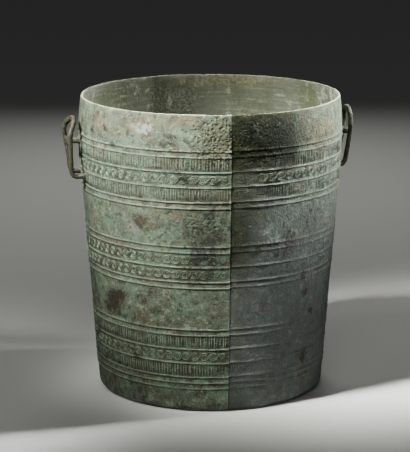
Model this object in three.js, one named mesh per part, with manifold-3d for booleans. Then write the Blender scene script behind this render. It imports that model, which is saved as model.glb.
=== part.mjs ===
// An ancient cast bronze situla: a tall, slightly tapering bucket with raised
// bands of relief and two upright loop handles that were cast on to it.
// Millimetres, +Z up. The origin is the middle of the underside, and the two
// handles stand at +X and -X.

import * as THREE from 'three';
import { mergeVertices } from 'three/addons/utils/BufferGeometryUtils.js';
import Module from 'manifold-3d';

const wasm = await Module();
wasm.setup();

// Sizes of the bucket
const height = 312;
const rimRadius = 136.2;
const shoulderRadius = 138.6;
const bellyRadius = 134.1;
const waistRadius = 126.9;
const footRadius = 119.2;
const wall = 2.8;
const floorThickness = 3.4;
const footRound = 7;
const lipRound = 0.7;

// Where the outline swells and narrows, as shares of the height
const shoulderShare = 0.92;
const bellyShare = 0.63;
const waistShare = 0.33;
const plainShares = [0.06, 0.18, waistShare, 0.51, bellyShare, 0.78, shoulderShare, 0.97];

// Raised fillets of the relief bands. A band opens with a pair of fillets, has
// a fillet under each row of ornament, and closes with one or two more.
const filletWidth = 2.2;
const filletHeight = 0.9;
const pairShare = 0.0199;
const bands = [
  { topShare: 0.117, rows: 3, rowShare: 0.0494, closing: 1 },
  { topShare: 0.433, rows: 2, rowShare: 0.0494, closing: 1 },
  { topShare: 0.714, rows: 3, rowShare: 0.0481, closing: 2 },
];

// Casting seams, where the two halves of the mould met
const seamAngle = THREE.MathUtils.degToRad(-92.9);
const seamWidth = 1.8;
const seamHeight = 0.6;
const halfColumns = 20;

// Sizes of a handle
const strandWidth = 5.8;
const strandDepth = 4.8;
const strandCorner = 1.6;
const legSpacing = 30;
const ringSpacing = 31;
const footBend = 3;
const stubDrop = 2.2;
const stubHeight = 6.2;
const stubWidth = 7;
const castGap = 0.3;
const pathSteps = 50;

// Each handle was bent a little differently by hand. Every length here is a
// share of legSpacing. Stand-offs are measured from the wall to the middle of
// the strand, the ring's drop is from the rim to its top, the feet's from the
// fillet above them, and feet are at -Y and +Y.
const handles = [
  {
    name: 'handle_right',
    angle: 0,
    ringDrop: 0.59,
    feetDrop: 0.027,
    legStandOff: 0.317,
    ringStandOff: 0.35,
    feetStandOff: [0.2, 0.233],
    ringLean: 0.01,
    ringTwist: THREE.MathUtils.degToRad(-2),
  },
  {
    name: 'handle_left',
    angle: Math.PI,
    ringDrop: 0.667,
    feetDrop: 0.107,
    legStandOff: 0.417,
    ringStandOff: 0.433,
    feetStandOff: [0.333, 0.417],
    ringLean: 0.2,
    ringTwist: THREE.MathUtils.degToRad(7),
  },
];

// Outer radius of the plain wall at a height
const outline = new THREE.CubicInterpolant(
  [0, waistShare * height, bellyShare * height, shoulderShare * height, height],
  [footRadius, waistRadius, bellyRadius, shoulderRadius, rimRadius],
  1
);
const wallRadius = (z) => outline.evaluate(z)[0];

// Heights of a band's fillets, from the top down
function filletHeights({ topShare, rows, rowShare, closing }) {
  const drops = [pairShare, ...Array(rows).fill(rowShare), ...Array(closing).fill(pairShare)];
  const heights = [height * (1 - topShare)];
  for (const drop of drops) {
    heights.push(heights.at(-1) - drop * height);
  }
  return heights;
}

// The outer face from the underside's edge up to the lip. A point is
// [radius, height, how far the seam stands out there].
function outerFace() {
  const corner = wallRadius(footRound) - footRound;
  const points = [0, 30, 60].map((degrees) => {
    const turn = THREE.MathUtils.degToRad(degrees);
    return [corner + footRound * Math.sin(turn), footRound * (1 - Math.cos(turn)), 0];
  });
  const plain = plainShares.map((share) => [share * height, 0]);
  const raised = bands.flatMap(filletHeights).flatMap((centre) => [
    [centre - filletWidth / 2, 0],
    [centre, filletHeight],
    [centre + filletWidth / 2, 0],
  ]);
  const stops = [[footRound, 0], ...plain, ...raised].sort((a, b) => a[0] - b[0]);
  for (const [z, lift] of stops) {
    points.push([wallRadius(z) + lift, z, seamHeight]);
  }
  points.push([wallRadius(height - lipRound), height - lipRound, 0]);
  return points;
}

// The bucket's profile, from the middle of the underside, up the outside, over
// the lip and down the inside to the middle of the floor
function bucketProfile() {
  const innerFoot = floorThickness + footRound;
  const innerRadius = wallRadius(innerFoot) - wall;
  const inner = plainShares
    .filter((share) => share * height > innerFoot)
    .map((share) => [wallRadius(share * height) - wall, share * height, 0])
    .reverse();
  return [
    [0, 0, 0],
    ...outerFace(),
    [rimRadius - lipRound, height, 0],
    [rimRadius - wall, height, 0],
    ...inner,
    [innerRadius, innerFoot, 0],
    [innerRadius - footRound * 0.3, floorThickness + footRound * 0.3, 0],
    [innerRadius - footRound, floorThickness, 0],
    [0, floorThickness, 0],
  ];
}

// Angles round the bucket, close together at each seam. A column is
// [angle, share of the seam's height].
function columns() {
  const half = seamWidth / 2 / shoulderRadius;
  const list = [];
  for (const start of [seamAngle, seamAngle + Math.PI]) {
    list.push([start, 1]);
    for (let step = 0; step <= halfColumns; step += 1) {
      list.push([start + half + ((Math.PI - 2 * half) * step) / halfColumns, 0]);
    }
  }
  return list;
}

// A closed solid turned from a profile that starts and ends on the axis
function turned(profile) {
  const around = columns();
  const rings = profile.slice(1, -1);
  const positions = [0, 0, profile[0][1]];
  for (const [radius, z, seam] of rings) {
    for (const [angle, share] of around) {
      const reach = radius + seam * share;
      positions.push(reach * Math.cos(angle), reach * Math.sin(angle), z);
    }
  }
  positions.push(0, 0, profile.at(-1)[1]);

  const count = around.length;
  const last = rings.length - 1;
  const end = positions.length / 3 - 1;
  const at = (ring, column) => 1 + ring * count + (column % count);
  const faces = [];
  for (let column = 0; column < count; column += 1) {
    faces.push(0, at(0, column + 1), at(0, column));
    for (let ring = 0; ring < last; ring += 1) {
      faces.push(at(ring, column), at(ring, column + 1), at(ring + 1, column + 1));
      faces.push(at(ring, column), at(ring + 1, column + 1), at(ring + 1, column));
    }
    faces.push(at(last, column), at(last, column + 1), end);
  }
  const geometry = new THREE.BufferGeometry();
  geometry.setAttribute('position', new THREE.Float32BufferAttribute(positions, 3));
  geometry.setIndex(faces);
  return geometry;
}

// What a handle is cut back from, so that it ends just clear of the wall
function wallWithGap() {
  const grown = outerFace().map(([radius, z, seam]) => [radius + castGap, z, seam]);
  return turned([[0, 0, 0], ...grown, [0, height, 0]]);
}

function solidOf(geometry) {
  const bare = geometry.clone();
  bare.deleteAttribute('normal');
  bare.deleteAttribute('uv');
  const merged = mergeVertices(bare, 1e-4);
  return new wasm.Manifold(
    new wasm.Mesh({
      numProp: 3,
      vertProperties: new Float32Array(merged.attributes.position.array),
      triVerts: new Uint32Array(merged.index.array),
    })
  );
}

function geometryOf(solid) {
  const mesh = solid.getMesh();
  const geometry = new THREE.BufferGeometry();
  geometry.setAttribute('position', new THREE.BufferAttribute(mesh.vertProperties, 3));
  geometry.setIndex(new THREE.BufferAttribute(mesh.triVerts, 1));
  geometry.computeVertexNormals();
  return geometry;
}

// A rectangle with cut corners, the section of every bar in a handle
function barSection(across, along) {
  const x = across / 2;
  const y = along / 2;
  const cut = strandCorner;
  return new THREE.Shape([
    new THREE.Vector2(x - cut, -y),
    new THREE.Vector2(x, cut - y),
    new THREE.Vector2(x, y - cut),
    new THREE.Vector2(x - cut, y),
    new THREE.Vector2(cut - x, y),
    new THREE.Vector2(-x, y - cut),
    new THREE.Vector2(-x, cut - y),
    new THREE.Vector2(cut - x, -y),
  ]);
}

// The looped strand: out of the wall at one foot, up a leg, over the ring and
// back down into the wall. X is outwards and Y runs along the wall.
function strandPath(handle, footZ, stubZ) {
  const legX = wallRadius(stubZ) + handle.legStandOff * legSpacing;
  const ringX = wallRadius(stubZ) + handle.ringStandOff * legSpacing;
  const inWall = wallRadius(footZ) - wall;
  const topZ = height - handle.ringDrop * legSpacing - strandDepth / 2;
  const rise = topZ - stubZ;
  const lean = handle.ringLean * legSpacing;
  const legY = legSpacing / 2;
  const ringY = ringSpacing / 2;

  // [outwards, along the wall, up, share of the ring's twist]
  const side = (sign) => {
    const footX = wallRadius(footZ) + handle.feetStandOff[sign < 0 ? 0 : 1] * legSpacing;
    return [
      [inWall, sign * legY, footZ, 0],
      [footX - footBend, sign * legY, footZ, 0],
      [footX, sign * legY, footZ + footBend, 0],
      [(footX + legX) / 2, sign * legY, (footZ + stubZ) / 2, 0],
      [legX, sign * legY, stubZ, 0.3],
      [ringX, sign * ringY, stubZ + rise * 0.42, 0.8],
      [ringX - lean * 0.4, sign * ringY * 0.86, stubZ + rise * 0.76, 1],
      [ringX - lean * 0.85, sign * ringY * 0.45, stubZ + rise * 0.96, 1],
    ];
  };
  const twisted = ([x, y, z, share]) => {
    const turn = handle.ringTwist * share;
    const out = x - ringX;
    return new THREE.Vector3(
      ringX + out * Math.cos(turn) - y * Math.sin(turn),
      y * Math.cos(turn) + out * Math.sin(turn),
      z
    );
  };
  const route = [...side(-1), [ringX - lean, 0, topZ, 1], ...side(1).reverse()];
  return new THREE.CatmullRomCurve3(route.map(twisted), false, 'centripetal');
}

// One handle before it is cut to the wall: the strand, a crossbar between its
// legs, and a stub from the crossbar to the wall
function wholeHandle(handle) {
  const bandLines = filletHeights(bands[0]);
  const stubZ = bandLines[1] - stubDrop;
  const footZ = bandLines[3] - (filletWidth + strandDepth) / 2 - handle.feetDrop * legSpacing;
  const legX = wallRadius(stubZ) + handle.legStandOff * legSpacing;
  const rootX = wallRadius(stubZ) - wall;

  const strand = new THREE.ExtrudeGeometry(barSection(strandDepth, strandWidth), {
    steps: pathSteps,
    extrudePath: strandPath(handle, footZ, stubZ),
    bevelEnabled: false,
  });
  const crossbar = new THREE.ExtrudeGeometry(barSection(strandDepth, stubHeight), {
    depth: legSpacing,
    bevelEnabled: false,
  });
  crossbar.rotateX(-Math.PI / 2).translate(legX, -legSpacing / 2, stubZ);
  const stub = new THREE.ExtrudeGeometry(barSection(stubHeight, stubWidth), {
    depth: legX - rootX,
    bevelEnabled: false,
  });
  stub.rotateY(Math.PI / 2).translate(rootX, 0, stubZ);
  return solidOf(strand).add(solidOf(crossbar)).add(solidOf(stub));
}

function handleSolid(handle, keepOut) {
  const degrees = THREE.MathUtils.radToDeg(handle.angle);
  return wholeHandle(handle).rotate([0, 0, degrees]).subtract(keepOut);
}

const patina = new THREE.MeshStandardMaterial({ color: 0x8b907a, roughness: 0.72, metalness: 0.35 });
const handlePatina = new THREE.MeshStandardMaterial({
  color: 0x77785f,
  roughness: 0.68,
  metalness: 0.4,
});

const situla = new THREE.Group();

const bucket = new THREE.Mesh(turned(bucketProfile()), patina);
bucket.name = 'bucket';
situla.add(bucket);

const keepOut = solidOf(wallWithGap());
for (const handle of handles) {
  const mesh = new THREE.Mesh(geometryOf(handleSolid(handle, keepOut)), handlePatina);
  mesh.name = handle.name;
  situla.add(mesh);
}

export default situla;
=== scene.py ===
# An ancient bronze situla. Metres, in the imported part's frame: +Z up along the
# bucket's axis, the two handles at +X and -X.
import math

import bpy
import numpy as np
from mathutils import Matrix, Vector, noise


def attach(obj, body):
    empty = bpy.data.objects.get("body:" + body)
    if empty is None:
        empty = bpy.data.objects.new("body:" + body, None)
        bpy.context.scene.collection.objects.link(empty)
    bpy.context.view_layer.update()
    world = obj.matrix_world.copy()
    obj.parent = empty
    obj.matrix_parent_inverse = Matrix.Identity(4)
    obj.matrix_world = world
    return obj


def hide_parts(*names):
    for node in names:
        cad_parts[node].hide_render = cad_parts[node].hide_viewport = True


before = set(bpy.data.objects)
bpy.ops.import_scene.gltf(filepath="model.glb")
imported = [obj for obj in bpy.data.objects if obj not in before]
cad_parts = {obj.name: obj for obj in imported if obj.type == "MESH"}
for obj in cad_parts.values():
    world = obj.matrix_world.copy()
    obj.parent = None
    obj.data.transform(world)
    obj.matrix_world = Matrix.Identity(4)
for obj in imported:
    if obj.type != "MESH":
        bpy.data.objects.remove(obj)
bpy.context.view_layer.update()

MM = 0.001

# Sizes of the bucket
HEIGHT = 312 * MM
WALL = 2.8 * MM
FLOOR = 3.4 * MM
FOOT_ROUND = 7 * MM
LIP_ROUND = 0.9 * MM
OUTLINE_Z = np.array([0, 0.33, 0.63, 0.92, 1]) * HEIGHT
OUTLINE_R = np.array([119.2, 126.9, 134.1, 138.6, 136.2]) * MM
MEAN_RADIUS = OUTLINE_R[2]

# Both faces of the wall lie this far in from the solid's, which leaves room for
# lumps
INSET = 0.25 * MM

# Relief bands, from the top down. Shares are of the height.
FILLET_HALF = 1.05 * MM
FILLET_HEIGHT = 0.95 * MM
PAIR_SHARE = 0.0199
BANDS = [
    {"name": "upper", "top": 0.117, "rows": ["comb", "circles", "comb"], "pitch": 0.0494, "closing": 1},
    {"name": "middle", "top": 0.433, "rows": ["circles", "circles"], "pitch": 0.0494, "closing": 1},
    {"name": "lower", "top": 0.714, "rows": ["comb", "circles", "comb"], "pitch": 0.0481, "closing": 2},
]

# Casting seams, one at the front and one at the back. The half of the wall
# towards +X lies a little further in beside them, and its relief lines sit a
# little higher.
SEAM = math.radians(-92.9)
SEAM_HALF = 0.9 * MM
SEAM_HEIGHT = 0.5 * MM
SEAM_STEP = 0.4 * MM
STEP_REACH = 22 * MM
LINE_SHIFT = 0.8 * MM

# Ornament between the fillets
COMB_PITCH = 2.85 * MM
COMB_HALF = 0.78 * MM
COMB_HEIGHT = 0.75 * MM
COMB_SEAM_GAP = 1.9 * MM
CIRCLES_ROUND = 86
CIRCLES_SEAM_GAP = 4.2 * MM
RING_RADIUS = 2.2 * MM
RING_HALF = 0.5 * MM
RING_HEIGHT = 0.95 * MM
RING_SIDES = 16
SCROLL_RADIUS = 3.85 * MM
SCROLL_HALF = 0.6 * MM
SCROLL_HEIGHT = 1.0 * MM
SCROLL_TAIL = (-170, -140, -110, -80, -55, -35)
SCROLL_HEAD = (145, 125, 100, 70, 40, 10)
DOT_RADIUS = 0.9 * MM
SINK = -0.35 * MM

# How much of the relief corrosion has left, from 0 to 1: on the -X half, at
# three levels of the +X half, and on the part of that half that is not seen
KEPT_LEFT = 0.92
KEPT_RIGHT = {"upper": 0.62, "middle": 0.22, "lower": 0.32}
KEPT_UNSEEN = 0.75
UPPER_FROM = 200 * MM
MIDDLE_FROM = 110 * MM
KEPT_LEAST = 0.05

# More is lost beside the seams, high up on the +X half and all the way down on
# the other: how much, and how far along the wall
RUBBED = 0.35
RUBBED_REACH = 0.032
WORN_EDGE = 0.3
WORN_EDGE_REACH = 0.014

# A worn fillet keeps this share of its height
FILLET_LEAST = 0.18

# Painted shade: on the ground of the ornament rows, under each fillet, beside the
# seams, and how much less of it there is on the +X half
ROW_PAINTED_SHADE = {"comb": 0.6, "circles": 0.4}
ROW_EDGE = 1.5 * MM
PAINTED_SHADE_BELOW = 1.6 * FILLET_HALF
PAINTED_SHADE_LEAST = 0.25
SEAM_PAINTED_SHADE = 0.15
SEAM_PAINTED_SHADE_AT = 1.3 * MM
SEAM_PAINTED_SHADE_REACH = 1.6 * MM
PAINTED_SHADE_LOST_RIGHT = 0.4

# Unevenness: how high, how large across, how many octaves, and seed
LINE_DRIFT = (0.35 * MM, 0.09, 1, 9.0)
BROAD_DENTS = (0.3 * MM, 0.06, 2, 1.0)
SMALL_DENTS = (0.2 * MM, 0.009, 3, 2.0)
INNER_DENTS = (0.25 * MM, 0.05, 2, 7.0)
INNER_PITS = (0.1 * MM, 0.01, 2, 8.0)
FLOOR_DENTS = (0.15 * MM, 0.04, 2, 3.0)
HANDLE_DENTS = (0.22 * MM, 0.006, 3, 1.0)
RELIEF_PATCHES = (0.4, 0.032, 3, 4.0)
RELIEF_NICKS = (0.18, 0.005, 2, 14.0)
GREY_CLOUDS = (0.03, 0.04, 3, 17.0)
CRUST_LUMP = 0.85 * MM


# Noise, the same in every run

def cloud(points, size, octaves, seed):
    """Fractal noise of about -1 to 1 at points, whose features are size across."""
    scaled = np.asarray(points, float) / size + (seed, seed * 0.7, -seed * 1.3)
    return np.array([noise.fractal(p, 1.0, 2.0, octaves) for p in scaled.tolist()])


def uneven(kind, points):
    """Noise at points, as high and as large as its kind says."""
    height, size, octaves, seed = kind
    return height * cloud(points, size, octaves, seed)


def wrapped(angle):
    """The same angle between -pi and pi."""
    return np.mod(angle + math.pi, 2 * math.pi) - math.pi


def smooth(value, low, high):
    """Rises gently from 0 at low to 1 at high."""
    t = np.clip((np.asarray(value, float) - low) / (high - low), 0, 1)
    return t * t * (3 - 2 * t)


# Placed stains, and two areas of painted shade: kind, angle in degrees, height,
# half width, half height in mm, and strength
OUTSIDE_STAINS = [
    ("brown", -147.5, 117.0, 7, 6, 1.1),
    ("brown", -153.5, 104.0, 10, 8, 1.1),
    ("brown", -158.0, 99.0, 8, 6, 0.9),
    ("dark", -152.5, 110.0, 14, 10, 0.9),
    # Painted shade on the -X side of the wall, over its lower two thirds
    ("dark", -176.0, 110.0, 24, 90, 0.5),
    # Darker patina and painted shade on the -X side of the front seam
    ("dark", -101.0, 186.0, 30, 40, 0.6),
    ("dark", -112.0, 252.0, 50, 24, 0.35),
    ("dark", -113.0, 190.0, 60, 26, 0.3),
    ("brown", -161.8, 285.0, 4, 5, 0.9),
    ("brown", -151.6, 291.0, 4, 4, 0.85),
    ("brown", -117.5, 288.0, 6, 4, 0.8),
    ("brown", -112.0, 296.0, 5, 3, 0.7),
    ("dark", -120.0, 280.0, 16, 6, 0.5),
    ("dark", -145.0, 276.0, 10, 5, 0.5),
    ("brown", -132.9, 115.6, 5, 4, 0.75),
    ("brown", -133.4, 199.1, 9, 8, 0.75),
    ("brown", -98.8, 190.3, 4, 5, 0.8),
    ("brown", -139.4, 52.6, 9, 4, 0.7),
    ("brown", -126.3, 105.7, 7, 4, 0.65),
    ("brown", -49.7, 47.3, 6, 7, 1.0),
    ("brown", -54.4, 136.4, 4, 6, 0.85),
    ("brown", -52.0, 118.1, 5, 5, 0.95),
    ("dark", -46.0, 96.0, 5, 5, 0.8),
    ("brown", -64.0, 178.0, 9, 12, 0.6),
    ("brown", -100.0, 266.0, 18, 5, 0.6),
    ("brown", -105.0, 228.0, 14, 5, 0.5),
    ("brown", -108.0, 150.0, 22, 16, 0.45),
    ("mauve", -136.8, 191.8, 9, 6, 0.9),
    ("mauve", -96.0, 266.0, 9, 3, 0.6),
    ("tan", -125.2, 303.1, 18, 8, 0.8),
    ("tan", -112.6, 304.7, 12, 6, 0.8),
    ("tan", -155.8, 297.2, 14, 12, 0.7),
    ("tan", -137.0, 292.0, 26, 10, 0.55),
    ("tan", -45.0, 285.0, 30, 18, 0.55),
    ("crust", -98.0, 289.0, 22, 20, 0.8),
    ("crust", -83.0, 288.0, 26, 24, 1.0),
    ("crust", -105.0, 200.0, 24, 10, 0.45),
    ("dark", -78.0, 290.0, 34, 24, 1.0),
    ("dark", -69.0, 282.0, 14, 26, 1.1),
    ("dark", -75.0, 180.0, 26, 30, 0.45),
    ("dark", -52.0, 200.0, 12, 16, 0.4),
    ("pale", -130.0, 296.0, 12, 7, 0.6),
    ("pale", -72.0, 190.0, 26, 10, 0.4),
]
INSIDE_STAINS = [
    ("dark", 102.8, 280.0, 11, 60, 0.85),
    ("dark", 92.0, 280.0, 24, 60, 0.45),
    ("green", 24.8, 285.0, 16, 60, 0.9),
    ("green", 60.0, 285.0, 30, 40, 0.35),
    ("pale", 11.4, 306.6, 16, 30, 0.8),
    ("pale", 0.0, 300.0, 20, 40, 0.6),
    ("tan", 70.0, 306.0, 60, 8, 0.5),
]

# Darker patina and painted shade on the +X side of the front seam: how dark at
# each height, and how far it reaches along the wall
SHADE_Z = [0, 0.05, 0.105, 0.18, 0.22, 0.25, 0.275]
SHADE_LEVEL = [0.6, 0.4, 0.35, 0.85, 0.75, 0.6, 1.2]
SHADE_REACH_Z = [0.24, 0.27]
SHADE_REACH = [0.042, 0.085]

# Soft areas of painted shade, one on the +X side below the lit upper part and one
# on the -X side of the front seam: angle in degrees, height in mm, half width in degrees, half height in mm,
# and strength
SOFT_PAINTED_SHADES = [
    (-16, 135, 26, 60, 0.5),
    (-107, 185, 12, 75, 0.4),
]

# Smooth grey patina on the +X side of the front seam: the degrees between which
# it ends, the last angle it may reach, and how much of it goes at which heights
GREY_ENDS = (-35, 15)
GREY_LAST = math.radians(80)
GREY_GOES = [(0.5, 0.14, 0.24), (0.4, 0.25, 0.28)]

# A stain is whole up to the first share of its half sizes and gone at the second
STAIN_CORE = 0.2
STAIN_END = 1.8
STAIN_KINDS = ["brown", "mauve", "tan", "crust", "dark", "green", "pale"]


def stain_strength(kind, stains, angle, z):
    """How strongly a kind of stain lies at each place."""
    strength = np.zeros(np.shape(angle))
    for name, degrees, height, half_width, half_height, most in stains:
        if name == kind:
            turn = wrapped(angle - math.radians(degrees))
            across = turn * MEAN_RADIUS / (half_width * MM)
            up = (z - height * MM) / (half_height * MM)
            reach = np.sqrt(across**2 + up**2)
            fading = smooth(reach, STAIN_CORE, STAIN_END)
            strength = np.maximum(strength, most * (1 - fading))
    return strength


# Shape of the wall

def wall_radius(z):
    """Outer radius of the plain wall, the cubic curve through the outline."""
    z = np.clip(np.asarray(z, float), 0, HEIGHT)
    last = len(OUTLINE_Z) - 1
    right = np.clip(np.searchsorted(OUTLINE_Z, z, side="right"), 1, last)
    left = right - 1
    before = np.where(left > 0, left - 1, right)
    after = np.where(right < last, right + 1, left)
    t0, t1 = OUTLINE_Z[left], OUTLINE_Z[right]
    half = (t1 - t0) / 2
    wp = half / (t0 - OUTLINE_Z[before])
    wn = half / (OUTLINE_Z[after] - t1)
    p = (z - t0) / (t1 - t0)
    sp = -wp * p**3 + 2 * wp * p**2 - wp * p
    s0 = (1 + wp) * p**3 + (-1.5 - 2 * wp) * p**2 + (-0.5 + wp) * p + 1
    s1 = (-1 - wn) * p**3 + (1.5 + wn) * p**2 + 0.5 * p
    sn = wn * p**3 - wn * p**2
    return sp * OUTLINE_R[before] + s0 * OUTLINE_R[left] + s1 * OUTLINE_R[right] + sn * OUTLINE_R[after]


def fillet_heights(band):
    drops = [PAIR_SHARE] + [band["pitch"]] * len(band["rows"]) + [PAIR_SHARE] * band["closing"]
    heights = [HEIGHT * (1 - band["top"])]
    for drop in drops:
        heights.append(heights[-1] - drop * HEIGHT)
    return heights


FILLETS = sorted(z for band in BANDS for z in fillet_heights(band))


def seam_distance(angle):
    """Signed distance along the wall from the nearest seam, and which half."""
    turn = np.mod(angle - SEAM, 2 * math.pi)
    near = np.mod(turn + math.pi / 2, math.pi) - math.pi / 2
    return near * MEAN_RADIUS, turn < math.pi


def cylinder_points(angle, z):
    return np.stack([MEAN_RADIUS * np.cos(angle), MEAN_RADIUS * np.sin(angle), z], axis=-1)


def relief_kept(angle, z):
    """How much of the relief corrosion has left, from 0 to 1."""
    offset, right = seam_distance(angle)
    level = np.where(z > MIDDLE_FROM, KEPT_RIGHT["middle"], KEPT_RIGHT["lower"])
    level = np.where(z > UPPER_FROM, KEPT_RIGHT["upper"], level)
    unseen = smooth(np.degrees(wrapped(angle)), -20, 20)
    rubbed = RUBBED * np.exp(-(offset / RUBBED_REACH) ** 2) * (z > UPPER_FROM)
    base = np.where(right, level + (KEPT_UNSEEN - level) * unseen - rubbed, KEPT_LEFT)
    worn_edge = WORN_EDGE * np.exp(-np.abs(offset) / WORN_EDGE_REACH) * (~right)
    place = cylinder_points(angle, z)
    patches = uneven(RELIEF_PATCHES, place)
    nicks = uneven(RELIEF_NICKS, place)
    return np.clip(base - worn_edge + patches + nicks, KEPT_LEAST, 1)


def outer_points(angle, z, lift):
    """Points on the outer face. z is where a line was drawn in the mould, and
    lift is how far the point stands out from the wall."""
    offset, right = seam_distance(angle)
    place = cylinder_points(angle, z)
    inside_band = smooth(z, 0.01, 0.03) * (1 - smooth(z, 0.285, 0.3))
    drift = (LINE_SHIFT * right + uneven(LINE_DRIFT, place)) * inside_band
    height = z + drift
    dents = uneven(BROAD_DENTS, place) + uneven(SMALL_DENTS, place)
    crust = stain_strength("crust", OUTSIDE_STAINS, angle, z)
    dents = dents + CRUST_LUMP * crust * cloud(place, 0.0055, 2, 11.0)
    ridge = SEAM_HEIGHT * np.clip(1 - np.abs(offset) / SEAM_HALF, 0, 1)
    step = SEAM_STEP * right * np.exp(-np.clip(np.abs(offset) - SEAM_HALF, 0, 1) / STEP_REACH)
    radius = wall_radius(height) + lift + dents - INSET - step
    radius = radius + ridge * smooth(z, 0.003, 0.01) * (0.75 + 0.25 * smooth(dents, -2e-4, 2e-4))
    return np.stack([radius * np.cos(angle), radius * np.sin(angle), height], axis=-1)


def fillet_lift(angle, z):
    lift = np.zeros_like(z)
    for centre in FILLETS:
        u = np.clip(np.abs(z - centre) / FILLET_HALF, 0, 1)
        lift = np.maximum(lift, FILLET_HEIGHT * (1 - u**2) ** 0.7)
    raised = lift > 0
    kept = np.ones_like(z)
    kept[raised] = FILLET_LEAST + (1 - FILLET_LEAST) * relief_kept(angle[raised], z[raised])
    return lift * kept


def crevice_painted_shade(angle, z):
    """Painted shade lies under each fillet, on the ground of the ornament rows and a
    little beside the seams."""
    kept = relief_kept(angle, z)
    painted_crevice_shade = np.zeros_like(z)
    for centre in FILLETS:
        below = np.abs(z - centre + PAINTED_SHADE_BELOW) / FILLET_HALF
        painted_crevice_shade = np.maximum(painted_crevice_shade, 1 - np.clip(below, 0, 1))
    painted_crevice_shade *= PAINTED_SHADE_LEAST + (1 - PAINTED_SHADE_LEAST) * kept
    for band in BANDS:
        heights = fillet_heights(band)[1:]
        for row, kind in enumerate(band["rows"]):
            low = heights[row + 1]
            high = heights[row]
            inside = smooth(z, low, low + ROW_EDGE) * (1 - smooth(z, high - ROW_EDGE, high))
            painted_crevice_shade = np.maximum(painted_crevice_shade, ROW_PAINTED_SHADE[kind] * inside * kept)
    offset, right = seam_distance(angle)
    beside = np.exp(-np.abs(np.abs(offset) - SEAM_PAINTED_SHADE_AT) / SEAM_PAINTED_SHADE_REACH) * right
    broken = 0.5 + 0.5 * cloud(cylinder_points(angle, z), 0.02, 3, 13.0)
    painted_crevice_shade = np.maximum(painted_crevice_shade, SEAM_PAINTED_SHADE * beside * np.clip(broken, 0, 1))
    return painted_crevice_shade * (1 - PAINTED_SHADE_LOST_RIGHT * right)


def seam_patina_and_painted_shade(angle, z):
    """The patina is darker on the +X side of the front seam, most of all high up,
    with painted shade there and in a few soft areas."""
    offset, right = seam_distance(angle)
    reach = np.interp(z, SHADE_REACH_Z, SHADE_REACH)
    level = np.interp(z, SHADE_Z, SHADE_LEVEL)
    dark_patina_and_painted_shade = right * (angle < 0) * np.exp(-(offset / reach) ** 2) * level
    for degrees, height, half_width, half_height, most in SOFT_PAINTED_SHADES:
        sideways = (np.degrees(angle) - degrees) / half_width
        upwards = (z - height * MM) / (half_height * MM)
        dark_patina_and_painted_shade = np.maximum(dark_patina_and_painted_shade, most * np.exp(-sideways**2 - upwards**2))
    return dark_patina_and_painted_shade


def greyness(angle, z):
    """How far the patina is smooth and grey, which it is low down on the front,
    on the +X side of the seam."""
    _, right = seam_distance(angle)
    cloudy = uneven(GREY_CLOUDS, cylinder_points(angle, z))
    sideways = 1 - smooth(np.degrees(angle) + cloudy * 600, *GREY_ENDS)
    upwards = 1
    for share, low, high in GREY_GOES:
        upwards = upwards - share * smooth(z + cloudy, low, high)
    return right * (angle < GREY_LAST) * sideways * upwards


# Meshes

def add_object(name, points, faces, material, smooth_shading=True):
    mesh = bpy.data.meshes.new(name)
    mesh.from_pydata(np.asarray(points, float).tolist(), [], faces)
    mesh.materials.append(material)
    mesh.polygons.foreach_set("use_smooth", [smooth_shading] * len(mesh.polygons))
    mesh.update()
    thing = bpy.data.objects.new(name, mesh)
    bpy.context.scene.collection.objects.link(thing)
    return thing


def add_attribute(mesh, name, values):
    layer = mesh.attributes.new(name, "FLOAT", "POINT")
    layer.data.foreach_set("value", np.asarray(values, np.float32))


# Columns round the bucket, and where rows lie about a fillet
FRONT_COLUMNS = 206
BACK_COLUMNS = 124
SEAM_CLEAR = 2.2 * MM
SEAM_COLUMNS = np.array([-1.6, -0.95, -0.85, -0.4, 0, 0.4, 0.85, 0.95, 1.6]) * MM
FILLET_ROWS = (-2.3, -1.5, -1.0, -0.5, 0.1, 0.6, 1.0)
ROW_GAP = 2.9 * MM

# Rings of the bucket: shares of the underside's radius, degrees round the foot,
# steps inwards and down over the lip, heights inside, degrees round the inner
# foot, and shares of the floor's radius
UNDERSIDE_SHARES = (0.25, 0.5, 0.75, 0.93)
FOOT_DEGREES = (0, 15, 30, 45, 60, 75)
LIP_STEPS = [
    (LIP_ROUND * 0.35, LIP_ROUND * 0.3),
    (LIP_ROUND, 0),
    (WALL - LIP_ROUND, 0),
    (WALL - LIP_ROUND * 0.35, LIP_ROUND * 0.3),
]
LIP_WEAR_MOST = 2 * MM
INNER_TOP = HEIGHT - 1.6 * MM
INNER_NEXT = HEIGHT - 5 * MM
INNER_ROWS = 38
INNER_FOOT_DEGREES = (25, 50, 75, 90)
FLOOR_SHARES = (0.85, 0.65, 0.45, 0.25)


def wall_columns():
    """Angles round the bucket: close at each seam, finer on the photographed side."""
    front = np.linspace(-math.pi, 0, FRONT_COLUMNS, endpoint=False)
    back = np.linspace(0, math.pi, BACK_COLUMNS, endpoint=False)
    angles = np.concatenate([front, back])
    offset, _ = seam_distance(angles)
    angles = angles[np.abs(offset) > SEAM_CLEAR]
    cluster = SEAM_COLUMNS / MEAN_RADIUS
    ends = np.concatenate([SEAM + cluster, SEAM + math.pi + cluster])
    return np.sort(wrapped(np.concatenate([angles, ends])))


def wall_heights():
    """Heights of the rows up the outer face, close together at each fillet."""
    fixed = [centre + part * FILLET_HALF for centre in FILLETS for part in FILLET_ROWS]
    stops = sorted(fixed + [FOOT_ROUND, HEIGHT - LIP_ROUND])
    rows = [stops[0]]
    for stop in stops[1:]:
        gap = stop - rows[-1]
        parts = max(1, math.ceil(gap / ROW_GAP))
        rows += [rows[-1] + gap * (k + 1) / parts for k in range(parts)]
    return rows


def ring_at(angles, radius, z):
    """A ring of points at a radius and a height."""
    zero = np.zeros_like(angles)
    reach = zero + radius
    return np.stack([reach * np.cos(angles), reach * np.sin(angles), zero + z], axis=-1)


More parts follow.
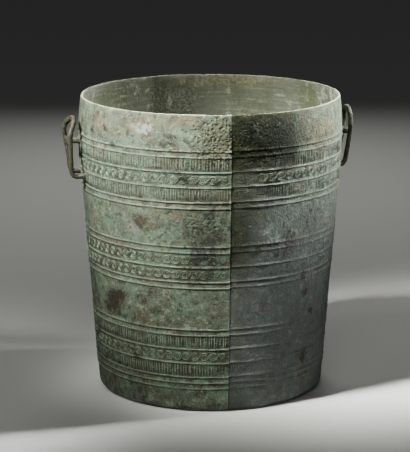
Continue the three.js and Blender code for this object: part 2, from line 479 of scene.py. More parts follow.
def foot_rings(angles):
    """Rings across the underside and up round the foot."""
    zero = np.zeros_like(angles)
    corner = float(wall_radius(FOOT_ROUND)) - FOOT_ROUND
    rings = [ring_at(angles, corner, 0) * share for share in UNDERSIDE_SHARES]
    edge = outer_points(angles, zero + FOOT_ROUND, zero)
    edge_radius = np.linalg.norm(edge[:, :2], axis=1)
    for degrees in FOOT_DEGREES:
        turn = math.radians(degrees)
        reach = edge_radius - FOOT_ROUND + FOOT_ROUND * math.sin(turn)
        rings.append(ring_at(angles, reach, FOOT_ROUND * (1 - math.cos(turn))))
    return rings


def face_rings(angles):
    """Rings up the outer face."""
    zero = np.zeros_like(angles)
    return [outer_points(angles, zero + z, fillet_lift(angles, zero + z)) for z in wall_heights()]


def lip_rings(angles):
    """Rings over the lip, whose edge is worn and chipped."""
    zero = np.zeros_like(angles)
    rim = outer_points(angles, zero + HEIGHT, zero)
    rim_radius = np.linalg.norm(rim[:, :2], axis=1)
    worn = 0.4 * MM * (1 + cloud(rim, 0.03, 3, 5.0))
    worn = worn + 0.4 * MM * smooth(cloud(rim, 0.006, 2, 6.0), 0.1, 0.6)
    worn = worn + 0.7 * MM * stain_strength("crust", OUTSIDE_STAINS, angles, zero + HEIGHT)
    worn = np.clip(worn, 0, LIP_WEAR_MOST)
    return [ring_at(angles, rim_radius - inward, HEIGHT - down - worn) for inward, down in LIP_STEPS]


def inner_rings(angles):
    """Rings down the inner face and across the floor."""
    zero = np.zeros_like(angles)
    foot_z = FLOOR + FOOT_ROUND
    rings = []
    for z in [INNER_TOP, *np.linspace(INNER_NEXT, foot_z, INNER_ROWS)]:
        place = cylinder_points(angles, zero + z)
        rough = uneven(INNER_DENTS, place) + uneven(INNER_PITS, place)
        rings.append(ring_at(angles, wall_radius(z) - INSET - WALL + rough, z))
    inner = float(wall_radius(foot_z)) - WALL - INSET
    for degrees in INNER_FOOT_DEGREES:
        turn = math.radians(degrees)
        reach = inner - FOOT_ROUND * (1 - math.cos(turn))
        rings.append(ring_at(angles, reach, foot_z - FOOT_ROUND * math.sin(turn)))
    for share in FLOOR_SHARES:
        ring = ring_at(angles, (inner - FOOT_ROUND) * share, 0)
        ring[:, 2] = FLOOR + uneven(FLOOR_DENTS, ring)
        rings.append(ring)
    return rings


def grid_faces(rings, columns):
    """Faces between rings of points, with a middle point at each end."""
    faces = []
    for ring in range(rings - 1):
        low = 1 + ring * columns
        for column in range(columns):
            following = (column + 1) % columns
            faces.append((low + column, low + following, low + columns + following, low + columns + column))
    top = 1 + (rings - 1) * columns
    end = 1 + rings * columns
    for column in range(columns):
        following = (column + 1) % columns
        faces.append((0, 1 + following, 1 + column))
        faces.append((end, top + column, top + following))
    return faces


# Materials

def srgb(*channels):
    """A colour given as 0 to 255 in sRGB, as linear values with alpha."""
    shares = [c / 255 for c in channels]
    return tuple(s / 12.92 if s <= 0.04045 else ((s + 0.055) / 1.055) ** 2.4 for s in shares) + (1,)


class Patina:
    """A node material, built up layer by layer."""

    def __init__(self, name, base):
        self.material = bpy.data.materials.new(name)
        self.material.use_nodes = True
        self.nodes = self.material.node_tree.nodes
        self.links = self.material.node_tree.links
        self.shader = self.nodes["Principled BSDF"]
        self.coords = self.nodes.new("ShaderNodeTexCoord").outputs["Object"]
        self.colour = base
        self.bumped = None

    def put(self, value, socket):
        if isinstance(value, bpy.types.NodeSocket):
            self.links.new(value, socket)
        else:
            socket.default_value = value

    def noise(self, size, detail, roughness, stretch=(1, 1, 1), shift=0.0):
        mapping = self.nodes.new("ShaderNodeMapping")
        mapping.inputs["Scale"].default_value = stretch
        mapping.inputs["Location"].default_value = (shift, -shift, shift / 2)
        self.links.new(self.coords, mapping.inputs["Vector"])
        texture = self.nodes.new("ShaderNodeTexNoise")
        self.links.new(mapping.outputs["Vector"], texture.inputs["Vector"])
        texture.inputs["Scale"].default_value = 1 / size
        texture.inputs["Detail"].default_value = detail
        texture.inputs["Roughness"].default_value = roughness
        return texture.outputs["Fac"]

    def cells(self, size):
        texture = self.nodes.new("ShaderNodeTexVoronoi")
        self.links.new(self.coords, texture.inputs["Vector"])
        texture.inputs["Scale"].default_value = 1 / size
        return texture.outputs["Distance"]

    def between(self, value, low, high, to_low=0.0, to_high=1.0):
        remap = self.nodes.new("ShaderNodeMapRange")
        remap.interpolation_type = "SMOOTHSTEP"
        self.links.new(value, remap.inputs["Value"])
        remap.inputs["From Min"].default_value = low
        remap.inputs["From Max"].default_value = high
        remap.inputs["To Min"].default_value = to_low
        remap.inputs["To Max"].default_value = to_high
        return remap.outputs["Result"]

    def maths(self, operation, first, second):
        node = self.nodes.new("ShaderNodeMath")
        node.operation = operation
        self.put(first, node.inputs[0])
        self.put(second, node.inputs[1])
        return node.outputs[0]

    def attribute(self, name):
        node = self.nodes.new("ShaderNodeAttribute")
        node.attribute_name = name
        return node.outputs["Fac"]

    def layer(self, factor, colour):
        """Lays a colour over what is there, where factor is high."""
        mix = self.nodes.new("ShaderNodeMix")
        mix.data_type = "RGBA"
        self.put(factor, mix.inputs[0])
        self.put(self.colour, mix.inputs[6])
        self.put(colour, mix.inputs[7])
        self.colour = mix.outputs[2]

    def stain(self, name, colour, edges, share):
        """A placed stain, or a placed mark of painted highlight or shade, whose edge the noise breaks up."""
        broken = self.between(edges, 0.36, 0.64, 0, 0.9)
        strength = self.maths("ADD", self.attribute(name), broken)
        self.layer(self.between(strength, 0.8, 1.25, 0, share), colour)

    def bump(self, height, distance, strength):
        node = self.nodes.new("ShaderNodeBump")
        self.links.new(height, node.inputs["Height"])
        node.inputs["Distance"].default_value = distance
        self.put(strength, node.inputs["Strength"])
        if self.bumped:
            self.links.new(self.bumped, node.inputs["Normal"])
        self.bumped = node.outputs["Normal"]

    def finish(self, roughness, metallic):
        self.put(self.colour, self.shader.inputs["Base Color"])
        self.put(roughness, self.shader.inputs["Roughness"])
        self.put(metallic, self.shader.inputs["Metallic"])
        if self.bumped:
            self.links.new(self.bumped, self.shader.inputs["Normal"])
        return self.material


def outside_material():
    p = Patina("bronze_outside", srgb(92, 98, 84))
    broad = p.noise(60 * MM, 5, 0.6)
    patches = p.noise(24 * MM, 8, 0.7, shift=0.7)
    brown = p.noise(18 * MM, 8, 0.74, shift=1.9)
    medium = p.noise(9 * MM, 7, 0.72, shift=3.1)
    fine = p.noise(3.2 * MM, 6, 0.74)
    grain = p.noise(1.3 * MM, 5, 0.75)
    calm = p.between(p.attribute("grey"), 0.1, 0.9, 1, 0.45)
    p.layer(p.between(broad, 0.42, 0.6, 0, 0.7), srgb(96, 98, 80))
    p.layer(p.between(patches, 0.46, 0.58, 0, 0.7), srgb(103, 122, 102))
    p.layer(p.between(p.attribute("grey"), 0.1, 0.9, 0, 0.85), srgb(91, 95, 96))
    p.layer(p.maths("MULTIPLY", p.between(brown, 0.52, 0.62, 0, 0.7), calm), srgb(92, 72, 52))
    p.layer(p.maths("MULTIPLY", p.between(medium, 0.53, 0.64, 0, 0.7), calm), srgb(140, 151, 134))
    p.layer(p.maths("MULTIPLY", p.between(medium, 0.47, 0.38, 0, 0.8), calm), srgb(50, 53, 42))
    # Painted highlight on the fillets, the ornament and the seam ridge
    p.layer(p.between(p.attribute("painted_highlight"), 0.35, 0.95, 0, 0.6), srgb(150, 162, 140))
    # Painted shade under the fillets, on the ground of the ornament rows, beside the seam and at the feet of
    # the ridges
    p.layer(p.between(p.attribute("painted_crevice_shade"), 0.1, 0.9, 0, 0.62), srgb(36, 38, 31))
    p.layer(p.maths("MULTIPLY", p.between(fine, 0.55, 0.66, 0, 0.65), calm), srgb(154, 168, 148))
    p.layer(p.maths("MULTIPLY", p.between(fine, 0.45, 0.36, 0, 0.7), calm), srgb(40, 41, 32))
    p.stain("crust", srgb(82, 82, 56), fine, 0.75)
    # Darker patina and painted shade beside the front seam, and painted shade in a few soft areas
    p.layer(p.between(p.attribute("dark_patina_and_painted_shade"), 0.05, 0.9, 0, 0.87), srgb(40, 40, 24))
    p.put(p.between(p.attribute("dark_patina_and_painted_shade"), 0.3, 1.0, 0.5, 0.12), p.shader.inputs["Specular IOR Level"])
    p.stain("tan", srgb(112, 95, 68), medium, 0.55)
    p.stain("mauve", srgb(134, 124, 130), fine, 0.8)
    p.stain("dark", srgb(32, 35, 27), medium, 0.9)
    p.stain("pale", srgb(154, 166, 158), medium, 0.6)
    p.stain("brown", srgb(58, 46, 34), fine, 0.95)
    # Paler worn lip with a painted highlight along its top
    p.stain("lip", srgb(184, 178, 148), fine, 0.7)
    specks = p.noise(6 * MM, 6, 0.75, shift=5.3)
    p.layer(p.between(specks, 0.63, 0.69, 0, 0.8), srgb(74, 52, 40))
    p.layer(p.between(grain, 0.6, 0.7, 0, 0.35), srgb(176, 188, 168))
    p.layer(p.between(grain, 0.41, 0.32, 0, 0.45), srgb(32, 32, 26))
    p.bump(medium, 4 * MM, calm)
    p.bump(fine, 2.8 * MM, calm)
    p.bump(grain, 1.1 * MM, calm)
    lumps = p.maths("MULTIPLY", p.attribute("crust"), p.between(p.cells(3.4 * MM), 0.15, 0.55))
    p.bump(lumps, 3 * MM, p.between(p.attribute("dark_patina_and_painted_shade"), 0.1, 0.8, 1, 0.6))
    return p.finish(p.between(fine, 0.35, 0.65, 0.62, 0.85), 0.12)


def inside_material():
    p = Patina("bronze_inside", srgb(97, 99, 87))
    broad = p.noise(60 * MM, 5, 0.6)
    medium = p.noise(14 * MM, 7, 0.7)
    fine = p.noise(3 * MM, 6, 0.7)
    wiped = p.noise(10 * MM, 6, 0.66, stretch=(0.3, 0.3, 4))
    p.layer(p.between(broad, 0.42, 0.62, 0, 0.8), srgb(84, 88, 73))
    p.layer(p.between(wiped, 0.54, 0.7, 0, 0.45), srgb(160, 160, 144))
    p.layer(p.between(wiped, 0.46, 0.34, 0, 0.45), srgb(76, 78, 60))
    p.layer(p.between(medium, 0.54, 0.68, 0, 0.55), srgb(154, 156, 138))
    p.layer(p.between(medium, 0.45, 0.34, 0, 0.6), srgb(84, 84, 62))
    p.layer(p.between(fine, 0.43, 0.33, 0, 0.5), srgb(66, 64, 50))
    p.stain("dark", srgb(58, 60, 47), fine, 0.8)
    p.stain("green", srgb(78, 83, 54), fine, 0.7)
    p.stain("pale", srgb(172, 176, 164), medium, 0.5)
    p.stain("tan", srgb(150, 134, 98), fine, 0.6)
    # Paler worn lip with a painted highlight along its top
    p.stain("lip", srgb(186, 180, 150), fine, 0.6)
    p.bump(medium, 1.6 * MM, 0.6)
    p.bump(fine, 0.9 * MM, 0.8)
    return p.finish(p.between(fine, 0.35, 0.65, 0.6, 0.82), 0.2)


def handle_material():
    p = Patina("bronze_handles", srgb(70, 67, 54))
    medium = p.noise(6 * MM, 6, 0.7)
    fine = p.noise(1.6 * MM, 5, 0.72)
    p.layer(p.between(medium, 0.5, 0.64, 0, 0.8), srgb(104, 108, 90))
    p.layer(p.between(medium, 0.46, 0.36, 0, 0.8), srgb(48, 38, 28))
    p.layer(p.between(fine, 0.56, 0.68, 0, 0.6), srgb(150, 150, 132))
    p.layer(p.between(fine, 0.42, 0.33, 0, 0.7), srgb(42, 37, 29))
    edges = p.nodes.new("ShaderNodeNewGeometry").outputs["Pointiness"]
    p.layer(p.between(edges, 0.52, 0.6, 0, 0.6), srgb(170, 168, 146))
    p.bump(fine, 0.7 * MM, 0.8)
    return p.finish(p.between(fine, 0.35, 0.65, 0.46, 0.72), 0.4)


outside = outside_material()
inside = inside_material()
handle_bronze = handle_material()


# The bucket

def build_bucket():
    angles = wall_columns()
    foot = foot_rings(angles)
    face = face_rings(angles)
    lip = lip_rings(angles)
    rings = foot + face + lip + inner_rings(angles)
    points = np.concatenate([[[0, 0, 0]], *rings, [[0, 0, FLOOR]]])
    bucket = add_object("bucket_shell", points, grid_faces(len(rings), len(angles)), outside)
    bucket.data.materials.append(inside)

    columns = len(angles)
    rows = np.array(wall_heights())
    first_row = len(foot)
    first_lip = first_row + len(face)
    last_lip = first_lip + len(lip) - 1
    ring_of = np.clip((np.arange(len(points)) - 1) // columns, 0, len(rings) - 1)
    within = ring_of > last_lip
    centres = np.array([polygon.vertices[2] for polygon in bucket.data.polygons])
    slots = np.where(within[centres], 1, 0)
    bucket.data.polygons.foreach_set("material_index", slots.astype(np.int32))

    angle = np.arctan2(points[:, 1], points[:, 0])
    z = points[:, 2]
    for kind in STAIN_KINDS:
        outer = stain_strength(kind, OUTSIDE_STAINS, angle, z)
        inner = stain_strength(kind, INSIDE_STAINS, angle, z)
        add_attribute(bucket.data, kind, np.where(within, inner, outer))
    drawn = np.clip(ring_of - first_row, 0, len(rows) - 1)
    on_face = (ring_of >= first_row) & (ring_of < first_lip)
    z_drawn = np.where(on_face, rows[drawn], 0)
    offset, _ = seam_distance(angle)
    # Painted highlight along the seam ridge and on the fillets
    on_seam = 0.8 * (np.abs(offset) < 0.5 * MM) * on_face
    painted_highlight = fillet_lift(angle, z_drawn) / FILLET_HEIGHT
    add_attribute(bucket.data, "painted_highlight", np.maximum(painted_highlight, on_seam))
    # Darker patina and painted shade beside the front seam, which weakens the painted crevice shade and the
    # lip's colour
    dark_patina_and_painted_shade = seam_patina_and_painted_shade(angle, z)
    lit = 1 - 0.5 * np.clip(dark_patina_and_painted_shade, 0, 1)
    # Painted shade under the fillets, on the ground of the ornament rows and beside the seam
    add_attribute(bucket.data, "painted_crevice_shade", crevice_painted_shade(angle, z_drawn) * lit)
    # Paler worn lip with a painted highlight along its top, weaker in the painted shade
    lip_rows = (ring_of >= first_lip) & (ring_of < last_lip)
    add_attribute(bucket.data, "lip", 0.8 * lip_rows * lit)
    add_attribute(bucket.data, "grey", greyness(angle, z))
    add_attribute(bucket.data, "dark_patina_and_painted_shade", dark_patina_and_painted_shade)
    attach(bucket, "root")
    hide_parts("bucket")


# Ornament between the fillets, as low ridges whose backs are in the wall. A
# ridge is drawn in the flat: along the wall, up, and out from it.
SECTION_ACROSS = np.array([-1.0, -0.62, 0.0, 0.62, 1.0])
SECTION_LIFT = np.array([0.0, 0.8, 1.0, 0.8, 0.0])
RIDGE_END = 0.45
DOT_SIDES = 8
DOT_RINGS = ((1.0, 0.0), (0.8, 0.6), (0.4, 0.95))


class Relief:
    """Collects the ridges of one band and makes one piece of them."""

    def __init__(self):
        self.points = []
        self.faces = []

    def ridge(self, angle, z, path, half, tall, closed=False):
        """A ridge along path, whose points are [along, up] from a place on the
        wall, in metres. An open one narrows at its ends."""
        path = np.asarray(path, float)
        count = len(path)
        if closed:
            ahead = np.roll(path, -1, axis=0) - np.roll(path, 1, axis=0)
        else:
            ahead = np.gradient(path, axis=0)
        ahead /= np.linalg.norm(ahead, axis=1)[:, None]
        normal = np.stack([-ahead[:, 1], ahead[:, 0]], axis=-1)
        scale = np.ones(count)
        if not closed:
            scale[[0, -1]] = RIDGE_END
        start = len(self.points)
        for index in range(count):
            for across, lift in zip(SECTION_ACROSS, SECTION_LIFT):
                place = path[index] + normal[index] * across * half * scale[index]
                rise = SINK + (tall * scale[index] - SINK) * lift
                self.points.append((angle, z, place[0], place[1], rise))
        sides = len(SECTION_ACROSS)
        for index in range(count if closed else count - 1):
            here = start + index * sides
            there = start + ((index + 1) % count) * sides
            for side in range(sides):
                following = (side + 1) % sides
                self.faces.append((here + side, here + following, there + following, there + side))
        if not closed:
            self.faces.append(tuple(start + side for side in range(sides))[::-1])
            self.faces.append(tuple(start + (count - 1) * sides + side for side in range(sides)))

    def dot(self, angle, z, radius, tall):
        """A small round knob."""
        start = len(self.points)
        sides = DOT_SIDES
        for share, lift in DOT_RINGS:
            for side in range(sides):
                turn = 2 * math.pi * side / sides
                along = radius * share * math.cos(turn)
                up = radius * share * math.sin(turn)
                rise = SINK + (tall - SINK) * lift
                self.points.append((angle, z, along, up, rise))
        self.points.append((angle, z, 0, 0, tall))
        for ring in range(len(DOT_RINGS) - 1):
            for side in range(sides):
                following = (side + 1) % sides
                low = start + ring * sides
                self.faces.append((low + side, low + following, low + sides + following, low + sides + side))
        last = start + (len(DOT_RINGS) - 1) * sides
        for side in range(sides):
            self.faces.append((last + side, last + (side + 1) % sides, last + sides))
        self.faces.append(tuple(start + side for side in range(sides))[::-1])

    def build(self, name):
        rows = np.array(self.points)
        angle, z, along, up, rise = rows.T
        height = z + up
        turned = wrapped(angle + along / wall_radius(height))
        kept = relief_kept(turned, height)
        points = outer_points(turned, height, SINK + (rise - SINK) * kept)
        piece = add_object(name, points, self.faces, outside)
        for kind in STAIN_KINDS:
            add_attribute(piece.data, kind, stain_strength(kind, OUTSIDE_STAINS, turned, height))
        # Painted highlight on the tops of the ridges
        add_attribute(piece.data, "painted_highlight", np.clip(rise / COMB_HEIGHT, 0, 1) * kept)
        # Painted shade at the feet of the ridges, where they meet the wall
        add_attribute(piece.data, "painted_crevice_shade", np.clip(0.5 - rise / COMB_HEIGHT, 0, 0.5))
        add_attribute(piece.data, "grey", greyness(turned, height))
        # Darker patina and painted shade beside the front seam, on the ornament too
        add_attribute(piece.data, "dark_patina_and_painted_shade", seam_patina_and_painted_shade(turned, height))
        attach(piece, "root")


def jitter(index, seed):
    """A repeatable number from -1 to 1."""
    return math.sin(index * 12.9898 + seed * 78.233) * 43758.5453 % 2 - 1


def comb_row(relief, low, high, seed):
    """Upright teeth that hang from the upper fillet to the lower one."""
    radius = float(wall_radius((low + high) / 2))
    count = round(2 * math.pi * radius / COMB_PITCH)
    for index in range(count):
        angle = 2 * math.pi * (index + 0.22 * jitter(index, seed)) / count
        offset, _ = seam_distance(np.array(angle))
        if abs(offset) < COMB_SEAM_GAP:
            continue
        foot = low + FILLET_HALF * (0.9 + 0.7 * abs(jitter(index, seed + 1)))
        top = high - FILLET_HALF * 0.8
        lean = 0.25 * MM * jitter(index, seed + 2)
        path = [
            (lean, foot),
            (lean * 0.4, foot + (top - foot) * 0.35),
            (0, foot + (top - foot) * 0.7),
            (-lean * 0.3, top),
        ]
        half = COMB_HALF * (1 + 0.22 * jitter(index, seed + 3))
        relief.ridge(angle, 0, path, half, COMB_HEIGHT * (1 + 0.2 * jitter(index, seed + 4)))


def scroll_point(along, degrees):
    turn = math.radians(degrees)
    return (along + SCROLL_RADIUS * math.cos(turn), SCROLL_RADIUS * math.sin(turn))


def circle_row(relief, low, high, seed):
    """Dotted circles, each under the head of one scroll and over the tail of
    the next."""
    centre = (low + high) / 2
    pitch = 2 * math.pi * float(wall_radius(centre)) / CIRCLES_ROUND
    turns = np.linspace(0, 2 * math.pi, RING_SIDES, endpoint=False)
    ring = np.stack([np.cos(turns), np.sin(turns)], axis=-1) * RING_RADIUS
    for index in range(CIRCLES_ROUND):
        angle = 2 * math.pi * (index + 0.06 * jitter(index, seed)) / CIRCLES_ROUND
        offset, _ = seam_distance(np.array(angle))
        if abs(offset) < CIRCLES_SEAM_GAP:
            continue
        z = centre + 0.25 * MM * jitter(index, seed + 1)
        relief.ridge(angle, z, ring, RING_HALF, RING_HEIGHT, closed=True)
        relief.dot(angle, z, DOT_RADIUS, RING_HEIGHT * 1.05)
        path = [scroll_point(0, degrees) for degrees in SCROLL_TAIL]
        path += [scroll_point(pitch, degrees) for degrees in SCROLL_HEAD]
        next_offset, _ = seam_distance(np.array(angle + pitch / MEAN_RADIUS))
        if abs(next_offset) > CIRCLES_SEAM_GAP:
            relief.ridge(angle, z, path, SCROLL_HALF, SCROLL_HEIGHT)


def build_relief():
    for number, band in enumerate(BANDS):
        heights = fillet_heights(band)[1:]
        relief = Relief()
        for row, kind in enumerate(band["rows"]):
            draw = comb_row if kind == "comb" else circle_row
            draw(relief, heights[row + 1], heights[row], 10 * number + row)
        relief.build("relief_" + band["name"])


# Handles
STRAND_WIDTH = 5.8 * MM
STRAND_DEPTH = 4.8 * MM
LEG_SPACING = 30 * MM
RING_SPACING = 31 * MM
FOOT_BEND = 3 * MM
STUB_DROP = 2.2 * MM
STUB_HEIGHT = 6.2 * MM
STUB_WIDTH = 7 * MM
ROOT_DEPTH = WALL * 0.6
FILLET_WIDTH = 2.2 * MM
STRAND_STEP = 0.7 * MM
PLAIT_PITCH = 3.4 * MM
BAR_STEPS = 30
STUB_STEPS = 20
SWEEP_SIDES = 28
SWEEP_SQUARENESS = 0.72
SKIN_VOXEL = 0.4 * MM

# Where the two handles differ: how far down and how far out from the wall they
# are, how far the loop leans in, and how it is twisted
HANDLES = [
    {
        "name": "handle_right",
        "turn": 0.0,
        "ring_drop": 17.7 * MM,
        "feet_drop": 0.8 * MM,
        "leg_off": 9.5 * MM,
        "ring_off": 10.5 * MM,
        "feet_off": (6 * MM, 7 * MM),
        "lean": 0.3 * MM,
        "twist": math.radians(-2),
    },
    {
        "name": "handle_left",
        "turn": math.pi,
        "ring_drop": 20 * MM,
        "feet_drop": 3.2 * MM,
        "leg_off": 12.5 * MM,
        "ring_off": 13 * MM,
        "feet_off": (10 * MM, 12.5 * MM),
        "lean": 6 * MM,
        "twist": math.radians(7),
    },
]


def strand_points(handle, foot_z, stub_z):
    """The points the looped strand passes through, X outwards."""
    base = float(wall_radius(stub_z))
    leg_x = base + handle["leg_off"]
    ring_x = base + handle["ring_off"]
    in_wall = float(wall_radius(foot_z)) - ROOT_DEPTH
    top_z = HEIGHT - handle["ring_drop"] - STRAND_DEPTH / 2
    rise = top_z - stub_z
    lean = handle["lean"]
    leg_y = LEG_SPACING / 2
    ring_y = RING_SPACING / 2

    def side(sign):
        foot_x = float(wall_radius(foot_z)) + handle["feet_off"][0 if sign < 0 else 1]
        return [
            (in_wall, sign * leg_y, foot_z, 0),
            (foot_x - FOOT_BEND, sign * leg_y, foot_z, 0),
            (foot_x, sign * leg_y, foot_z + FOOT_BEND, 0),
            ((foot_x + leg_x) / 2, sign * leg_y, (foot_z + stub_z) / 2, 0),
            (leg_x, sign * leg_y, stub_z, 0.3),
            (ring_x, sign * ring_y, stub_z + rise * 0.42, 0.8),
            (ring_x - lean * 0.4, sign * ring_y * 0.86, stub_z + rise * 0.76, 1),
            (ring_x - lean * 0.85, sign * ring_y * 0.45, stub_z + rise * 0.96, 1),
        ]

    def twisted(x, y, z, share):
        turn = handle["twist"] * share
        out = x - ring_x
        return (
            ring_x + out * math.cos(turn) - y * math.sin(turn),
            y * math.cos(turn) + out * math.sin(turn),
            z,
        )

    route = side(-1) + [(ring_x - lean, 0, top_z, 1)] + side(1)[::-1]
    return np.array([twisted(*stop) for stop in route])


def spline(points, step):
    """A smooth curve through the points, in even steps, and how far along it
    each step is."""
    ends = [2 * points[0] - points[1], 2 * points[-1] - points[-2]]
    stops = np.concatenate([[ends[0]], points, [ends[1]]])
    fine = []
    for p0, p1, p2, p3 in zip(stops, stops[1:], stops[2:], stops[3:]):
        d0, d1, d2 = (max(1e-6, np.linalg.norm(b - a)) ** 0.5 for a, b in ((p0, p1), (p1, p2), (p2, p3)))
        m1 = ((p1 - p0) / d0 - (p2 - p0) / (d0 + d1) + (p2 - p1) / d1) * d1
        m2 = ((p2 - p1) / d1 - (p3 - p1) / (d1 + d2) + (p3 - p2) / d2) * d1
        square = -3 * p1 + 3 * p2 - 2 * m1 - m2
        cube = 2 * p1 - 2 * p2 + m1 + m2
        for t in np.linspace(0, 1, 40, endpoint=False):
            fine.append(p1 + m1 * t + square * t**2 + cube * t**3)
    fine.append(points[-1])
    fine = np.array(fine)
    length = np.concatenate([[0], np.cumsum(np.linalg.norm(np.diff(fine, axis=0), axis=1))])
    marks = np.linspace(0, length[-1], max(2, round(length[-1] / step)))
    even = [np.interp(marks, length, fine[:, axis]) for axis in range(3)]
    return np.stack(even, axis=-1), marks


def directions(path):
    """The direction of the path at each of its points."""
    ahead = np.gradient(path, axis=0)
    return ahead / np.linalg.norm(ahead, axis=1)[:, None]


def sweep(path, side_of, half_widths, half_depths, carve=None):
    """A closed bar along path. side_of is the direction of its width, and carve
    gives how much wider it is at a step and a turn round it."""
    count = len(path)
    sides = SWEEP_SIDES
    ahead = directions(path)
    points = []
    for index in range(count):
        deep = np.cross(ahead[index], side_of[index])
        deep /= np.linalg.norm(deep)
        wide = np.cross(deep, ahead[index])
        for side in range(sides):
            turn = 2 * math.pi * side / sides
            c = math.cos(turn)
            s = math.sin(turn)
            x = half_widths[index] * math.copysign(abs(c) ** SWEEP_SQUARENESS, c)
            y = half_depths[index] * math.copysign(abs(s) ** SWEEP_SQUARENESS, s)
            grow = 1 if carve is None else 1 + carve(index, turn)
            points.append(path[index] + (wide * x + deep * y) * grow)
    faces = []
    for index in range(count - 1):
        for side in range(sides):
            following = (side + 1) % sides
            low = index * sides
            faces.append((low + side, low + following, low + sides + following, low + sides + side))
    faces.append(tuple(range(sides))[::-1])
    faces.append(tuple((count - 1) * sides + side for side in range(sides)))
    return points, faces


def handle_parts(handle):
    """The strand, the bar across its legs and the stub to the wall."""
    lines = fillet_heights(BANDS[0])
    stub_z = lines[1] - STUB_DROP
    foot_z = lines[3] - (FILLET_WIDTH + STRAND_DEPTH) / 2 - handle["feet_drop"]
    leg_x = float(wall_radius(stub_z)) + handle["leg_off"]
    root_x = float(wall_radius(stub_z)) - ROOT_DEPTH

    path, marks = spline(strand_points(handle, foot_z, stub_z), STRAND_STEP)
    ends = np.minimum(marks, marks[-1] - marks)
    flare = 1 + 0.22 * (1 - smooth(ends, 1.5 * MM, 7 * MM))
    ahead = directions(path)
    outward = np.cross(ahead, (0, 0, 1.0))
    in_plane = np.cross(ahead, (1.0, 0, 0))
    upright = np.where(np.linalg.norm(in_plane, axis=1)[:, None] > 0.35, in_plane, outward)
    for index in range(1, len(upright)):
        if np.dot(upright[index], upright[index - 1]) < 0:
            upright[index] = -upright[index]

    def plait(index, turn):
        slant = abs(math.sin(turn)) * 1.1
        wave = abs(math.sin(math.pi * (marks[index] / PLAIT_PITCH + slant)))
        return 0.09 * wave - 0.05

    strand = sweep(path, upright, STRAND_WIDTH / 2 * flare, STRAND_DEPTH / 2 * flare, plait)

    reach = np.linspace(-LEG_SPACING / 2, LEG_SPACING / 2, BAR_STEPS)
    bar_path = np.array([(leg_x, y, stub_z) for y in reach])
    up = np.array([(0, 0, 1.0)] * BAR_STEPS)
    belly = STUB_HEIGHT / 2 * (0.85 + 0.15 * np.cos(np.linspace(-math.pi, math.pi, BAR_STEPS)))
    bar = sweep(bar_path, up, belly, np.full(BAR_STEPS, STRAND_DEPTH / 2))

    stub_path = np.array([(x, 0, stub_z) for x in np.linspace(root_x, leg_x, STUB_STEPS)])
    across = np.array([(0, 1.0, 0)] * STUB_STEPS)
    from_wall = np.linspace(0, leg_x - root_x, STUB_STEPS)
    spread = 1 + 0.25 * (1 - smooth(from_wall, 1.5 * MM, 6 * MM))
    stub = sweep(stub_path, across, STUB_WIDTH / 2 * spread, STUB_HEIGHT / 2 * spread)
    return [strand, bar, stub]


def remeshed(thing, voxel):
    """Makes one closed skin of a piece whose parts run into each other."""
    change = thing.modifiers.new("skin", "REMESH")
    change.mode = "VOXEL"
    change.voxel_size = voxel
    change.use_smooth_shade = True
    graph = bpy.context.evaluated_depsgraph_get()
    mesh = bpy.data.meshes.new_from_object(thing.evaluated_get(graph))
    thing.modifiers.clear()
    thing.data = mesh
    return thing


def corroded(mesh):
    """Eats into the surface of a handle."""
    place = np.zeros(len(mesh.vertices) * 3)
    mesh.vertices.foreach_get("co", place)
    place = place.reshape(-1, 3)
    normals = np.zeros(len(mesh.vertices) * 3)
    mesh.vertices.foreach_get("normal", normals)
    normals = normals.reshape(-1, 3)
    pits = smooth(cloud(place, 0.0035, 2, 2.0), 0.25, 0.7)
    eaten = uneven(HANDLE_DENTS, place) - 0.2 * MM * pits
    place += normals * (eaten - 0.05 * MM)[:, None]
    mesh.vertices.foreach_set("co", place.ravel())
    mesh.update()


def build_handle(handle):
    points = []
    faces = []
    for part_points, part_faces in handle_parts(handle):
        faces += [tuple(len(points) + corner for corner in face) for face in part_faces]
        points += part_points
    x, y, z = np.array(points).T
    c = math.cos(handle["turn"])
    s = math.sin(handle["turn"])
    turned = np.stack([x * c - y * s, x * s + y * c, z], axis=-1)
    rough = add_object(handle["name"] + "_cast", turned, faces, handle_bronze)
    piece = remeshed(rough, SKIN_VOXEL)
    corroded(piece.data)
    if not piece.data.materials:
        piece.data.materials.append(handle_bronze)
    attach(piece, "root")
    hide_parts(handle["name"])


# Stage, light and camera
FLOOR_HALF = 12
CAMERA_LENS = 159.05
CAMERA_SENSOR = 36
CAMERA_PLACE = (-0.4185, -2.0289, 0.6466)
CAMERA_TURN = (77.01, 0, -11.5)
FLOOR_COLOUR = (196, 194, 190)
WORLD_COLOUR = (0.94, 0.97, 1.0, 1)
WORLD_STRENGTH = 0.055

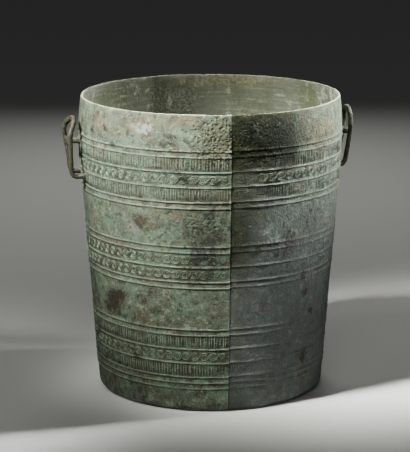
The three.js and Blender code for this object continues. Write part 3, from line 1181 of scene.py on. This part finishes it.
# Square lamps: name, where each stands and where it points, size, how many
# degrees wide its beam is, watts and colour. Places are an angle round the
# bucket, a distance from its axis, and a height.
LAMPS = [
    ("key", (-152, 0.75, 1.0), (-130, 0.13, 0.345), 0.26, 19, 1.6, (0.96, 1.0, 0.96)),
    ("side", (-2, 0.8, 0.85), (-23, 0.13, 0.37), 0.2, 17, 1.1, (0.96, 1.0, 0.97)),
    ("inner_right", (-170, 0.6, 0.95), (8, 0.13, 0.3), 0.2, 28, 0.07, (0.98, 1.0, 0.95)),
    ("inner_left", (-10, 0.6, 0.95), (132, 0.13, 0.3), 0.2, 24, 0.15, (0.98, 1.0, 0.95)),
    ("front", (-104, 1.6, 0.7), (0, 0, 0.1), 0.9, 120, 2.8, (0.97, 1.0, 0.99)),
    ("rear", (80, 1.6, 1.0), (0, 0, 0.2), 1.2, 120, 5.5, (0.98, 1.0, 0.98)),
]


def build_stage():
    material = bpy.data.materials.new("floor_plain")
    material.use_nodes = True
    shader = material.node_tree.nodes["Principled BSDF"]
    shader.inputs["Base Color"].default_value = srgb(*FLOOR_COLOUR)
    shader.inputs["Roughness"].default_value = 0.9
    edge = FLOOR_HALF
    corners = [(-edge, -edge, 0), (edge, -edge, 0), (edge, edge, 0), (-edge, edge, 0)]
    floor = add_object("floor", corners, [(0, 1, 2, 3)], material, False)

    world = bpy.data.worlds.new("studio")
    bpy.context.scene.world = world
    world.use_nodes = True
    background = world.node_tree.nodes["Background"]
    background.inputs["Color"].default_value = WORLD_COLOUR
    background.inputs["Strength"].default_value = WORLD_STRENGTH


def round_axis(degrees, distance, height):
    turn = math.radians(degrees)
    return (distance * math.cos(turn), distance * math.sin(turn), height)


def add_light(name, place, aim, size, spread, watts, colour):
    lamp = bpy.data.lights.new(name, "AREA")
    lamp.energy = watts
    lamp.size = size
    lamp.spread = math.radians(spread)
    lamp.color = colour
    thing = bpy.data.objects.new(name, lamp)
    thing.location = round_axis(*place)
    aim_at = Vector(round_axis(*aim)) - thing.location
    thing.rotation_euler = aim_at.to_track_quat("-Z", "Y").to_euler()
    bpy.context.scene.collection.objects.link(thing)


def build_lights():
    for lamp in LAMPS:
        add_light(*lamp)
    bpy.context.scene.view_settings.look = "AgX - Medium High Contrast"


def build_camera():
    camera = bpy.data.cameras.new("camera")
    camera.lens = CAMERA_LENS
    camera.sensor_width = CAMERA_SENSOR
    thing = bpy.data.objects.new("camera", camera)
    thing.location = CAMERA_PLACE
    thing.rotation_euler = [math.radians(degrees) for degrees in CAMERA_TURN]
    bpy.context.scene.collection.objects.link(thing)
    bpy.context.scene.camera = thing


build_bucket()
build_relief()
for handle in HANDLES:
    build_handle(handle)
build_stage()
build_lights()
build_camera()
